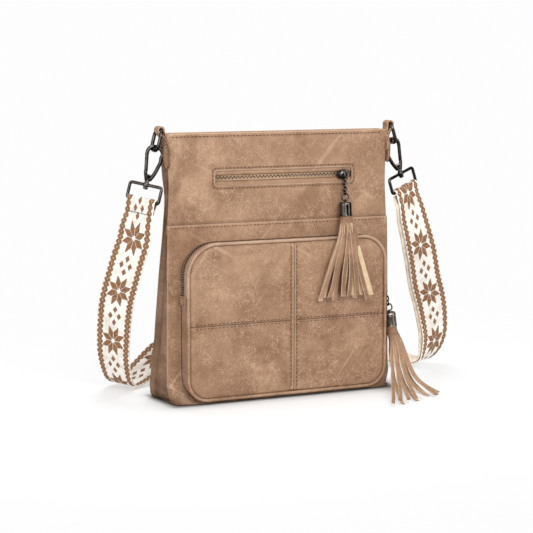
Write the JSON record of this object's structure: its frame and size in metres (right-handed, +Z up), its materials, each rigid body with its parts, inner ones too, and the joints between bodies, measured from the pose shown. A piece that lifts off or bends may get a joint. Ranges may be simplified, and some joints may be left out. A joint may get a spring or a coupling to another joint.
{
  "type": "crossbody bag",
  "caption": "Flat leather crossbody bag with a front zip, a piped patch pocket, tassels on both outer zips and a woven strap on spring hooks.",
  "frame": {"origin": "middle of the base's underside, on the surface the bag stands on", "axes": "+Z up, -Y to the front with the pocket, +X to the right as seen from the front"},
  "size_m": [0.4395, 0.2672, 0.2927],
  "materials": {
    "leather": "distressed tan, semi-matte",
    "rosy_leather": "smooth, semi-matte",
    "lining_cloth": "plain weave",
    "webbing": "jacquard weave in cream and brown",
    "board": "fibreboard",
    "zip_tape": "woven tape with dark metal teeth",
    "dark_nickel": "glossy dark nickel plating on zinc alloy"
  },
  "bodies": {
    "bag": {"back_panel": "leather", "base_board": "board", "base_panel": "leather", "front_lower_panel": "leather", "front_upper_panel": "leather", "front_zip_pouch": "lining_cloth", "front_zip_tape": "zip_tape", "front_zip_welt": "leather", "left_gusset": "leather", "left_rect_ring": "dark_nickel", "left_tab": "leather", "lining": "lining_cloth", "pocket_face_lower_left": "leather", "pocket_face_lower_right": "leather", "pocket_face_upper_left": "leather", "pocket_face_upper_right": "leather", "pocket_gusset": "leather", "pocket_piping": "rosy_leather", "pocket_seam_strip": "leather", "pocket_zip": "zip_tape", "pocket_zip_tab_left": "leather", "pocket_zip_tab_right": "leather", "right_gusset": "leather", "right_rect_ring": "dark_nickel", "right_tab": "leather", "strap": "webbing", "strap_return": "webbing", "strap_slide": "dark_nickel", "top_zip_tape_back": "zip_tape", "top_zip_tape_front": "zip_tape"},
    "left_ring": {"left_oval_ring": "dark_nickel"},
    "right_ring": {"right_oval_ring": "dark_nickel"},
    "left_hook": {"left_hook_body": "dark_nickel", "left_gate_pin": "dark_nickel"},
    "right_hook": {"right_hook_body": "dark_nickel", "right_gate_pin": "dark_nickel"},
    "left_gate": {"left_hook_gate": "dark_nickel"},
    "right_gate": {"right_hook_gate": "dark_nickel"},
    "top_slider": {"top_zip_slider": "dark_nickel"},
    "top_pull": {"top_zip_pull": "dark_nickel"},
    "front_slider": {"front_zip_slider": "dark_nickel"},
    "front_chain": {"front_link_1": "dark_nickel", "front_link_2": "dark_nickel", "front_link_3": "dark_nickel", "front_link_4": "dark_nickel", "front_ring": "dark_nickel"},
    "front_tassel": {"front_cap": "dark_nickel", "front_fringe": "leather"},
    "pocket_slider": {"pocket_zip_slider": "dark_nickel"},
    "side_chain": {"side_link_1": "dark_nickel", "side_link_2": "dark_nickel", "side_link_3": "dark_nickel", "side_link_4": "dark_nickel", "side_link_5": "dark_nickel", "side_ring": "dark_nickel"},
    "side_tassel": {"side_cap": "dark_nickel", "side_fringe": "leather"}
  },
  "joints": [
    {"name": "left_ring_swing", "type": "hinge", "parent": "bag", "child": "left_ring", "pos_m": [-0.1349, -0.0068, 0.287], "axis": [0, 1, 0], "range_deg": [-3, 3]},
    {"name": "left_hook_swivel", "type": "hinge", "parent": "bag", "child": "left_hook", "pos_m": [-0.14956, -0.0068, 0.23073], "axis": [0.2521, 0, 0.9677], "range_deg": [-25, 25]},
    {"name": "left_gate_hinge", "type": "hinge", "parent": "left_hook", "child": "left_gate", "pos_m": [-0.14956, -0.0068, 0.24261], "axis": [0, 1, 0], "range_deg": [0, 15], "stiffness_Nm_per_rad": 0.01, "springref_deg": -20.05},
    {"name": "right_ring_swing", "type": "hinge", "parent": "bag", "child": "right_ring", "pos_m": [0.1372, -0.0068, 0.2885], "axis": [0, 1, 0], "range_deg": [-3, 3]},
    {"name": "right_hook_swivel", "type": "hinge", "parent": "bag", "child": "right_hook", "pos_m": [0.15449, -0.0068, 0.23298], "axis": [-0.2974, 0, 0.9548], "range_deg": [-25, 25]},
    {"name": "right_gate_hinge", "type": "hinge", "parent": "right_hook", "child": "right_gate", "pos_m": [0.15394, -0.0068, 0.24485], "axis": [0, -1, 0], "range_deg": [0, 15], "stiffness_Nm_per_rad": 0.01, "springref_deg": -20.05},
    {"name": "top_zip", "type": "slide", "parent": "bag", "child": "top_slider", "axis": [-1, 0, 0], "range_m": [0, 0.205]},
    {"name": "top_pull_flip", "type": "hinge", "parent": "top_slider", "child": "top_pull", "pos_m": [0.1024, -0.0055, 0.27505], "axis": [0, 1, 0], "range_deg": [0, 100]},
    {"name": "front_zip", "type": "slide", "parent": "bag", "child": "front_slider", "axis": [-1, 0, 0], "range_m": [0, 0.142]},
    {"name": "front_chain_swing", "type": "hinge", "parent": "front_slider", "child": "front_chain", "pos_m": [0.075, -0.023, 0.2275], "axis": [0, 1, 0], "range_deg": [-8, 30]},
    {"name": "front_tassel_lift", "type": "hinge", "parent": "front_chain", "child": "front_tassel", "pos_m": [0.075, -0.02499, 0.2068], "axis": [-1, 0, 0], "range_deg": [0, 80]},
    {"name": "pocket_zip", "type": "slide", "parent": "bag", "child": "pocket_slider", "axis": [0, 0, 1], "range_m": [0, 0.015]},
    {"name": "side_chain_swing", "type": "hinge", "parent": "pocket_slider", "child": "side_chain", "pos_m": [0.12225, -0.028, 0.1122], "axis": [-1, 0, 0], "range_deg": [0, 20]},
    {"name": "side_tassel_lift", "type": "hinge", "parent": "side_chain", "child": "side_tassel", "pos_m": [0.12958, -0.028, 0.0828], "axis": [-1, 0, 0], "range_deg": [0, 60]}
  ]
}
